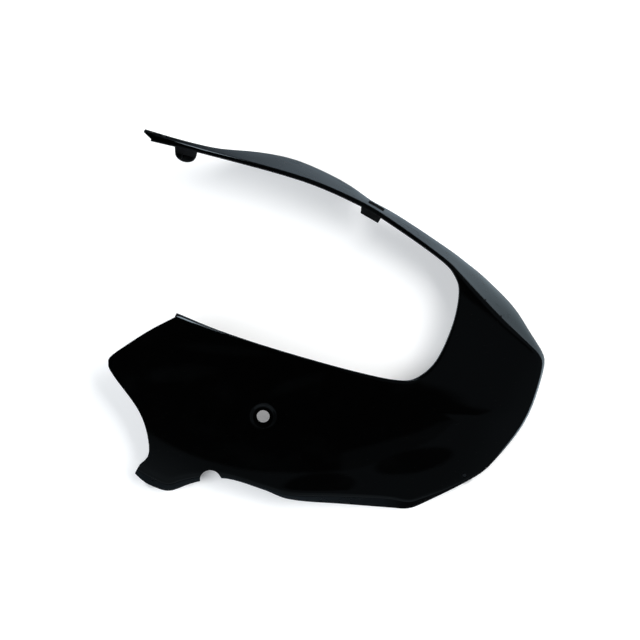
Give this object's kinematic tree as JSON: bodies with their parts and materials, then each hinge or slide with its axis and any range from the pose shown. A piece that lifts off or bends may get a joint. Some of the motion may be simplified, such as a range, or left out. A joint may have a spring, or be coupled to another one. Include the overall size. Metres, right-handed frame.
{
  "type": "motorcycle fairing side panel",
  "caption": "Gloss black moulded side fairing panel with a C-shaped opening, a narrow upper arm, fixing tabs and a dished fixing hole.",
  "frame": {"origin": "middle of the panel's plan, on the surface that it lies on", "axes": "+X towards the front of the motorcycle, +Y towards the shoulder and the upper arm, +Z out of the panel's outer face"},
  "size_m": [0.6494, 0.5638, 0.0965],
  "materials": {
    "panel": "gloss black paint over moulded plastic"
  },
  "bodies": {
    "root": {"fairing_panel": "panel"}
  },
  "joints": []
}
